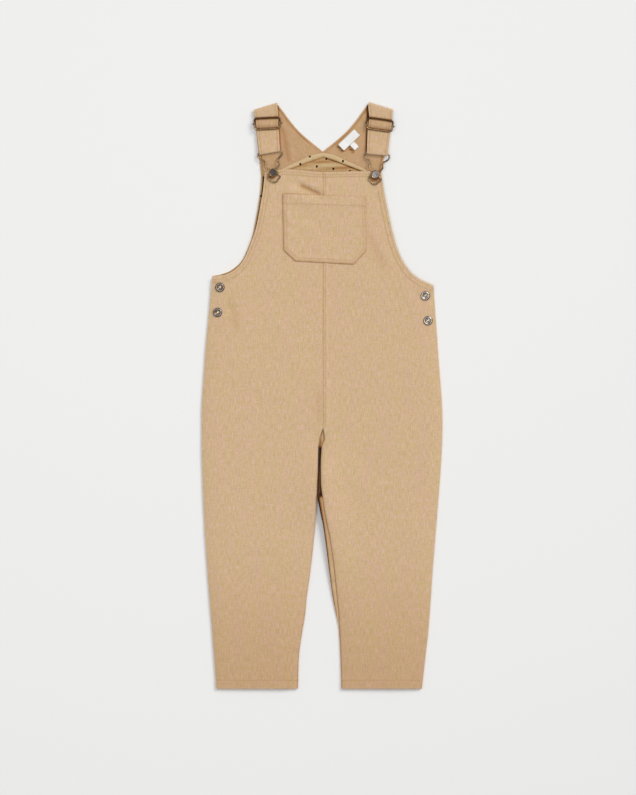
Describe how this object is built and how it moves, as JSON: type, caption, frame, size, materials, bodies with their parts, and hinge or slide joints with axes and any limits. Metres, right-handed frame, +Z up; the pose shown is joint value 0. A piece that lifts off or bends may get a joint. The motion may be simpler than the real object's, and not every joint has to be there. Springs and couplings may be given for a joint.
{
  "type": "kids dungarees",
  "caption": "Child's cotton canvas dungarees laid flat and face up, with a bib, patch pocket, shoulder straps with wire sliders and hooks on shank buttons, and side snaps.",
  "frame": {"origin": "on the surface that the garment lies on, under the middle of its outline", "axes": "+Y from the hems to the straps, +X to the right of the view from above, +Z up out of the front of the garment"},
  "size_m": [0.3004, 0.7327, 0.0104],
  "materials": {
    "canvas": "matte sand cotton canvas with a fine mixed thread colour",
    "print": "matte ochre cotton with small dark spots",
    "label": "smooth white woven tape",
    "brass": "antiqued, satin",
    "gunmetal": "dark antiqued, satin"
  },
  "bodies": {
    "root": {"front_left": "canvas", "front_right": "canvas", "back_left": "canvas", "back_right": "canvas", "strap_left": "canvas", "strap_right": "canvas", "pocket": "canvas", "back_facing": "print", "armhole_facing_left": "print", "label": "label", "size_tab": "label", "hook_left": "brass", "hook_right": "brass", "slider_left": "brass", "slider_right": "brass", "slider_bar_left": "brass", "slider_bar_right": "brass", "button_left": "gunmetal", "button_right": "gunmetal", "snap_left_upper": "brass", "snap_left_lower": "brass", "snap_right_upper": "brass", "snap_right_lower": "brass"}
  },
  "joints": []
}
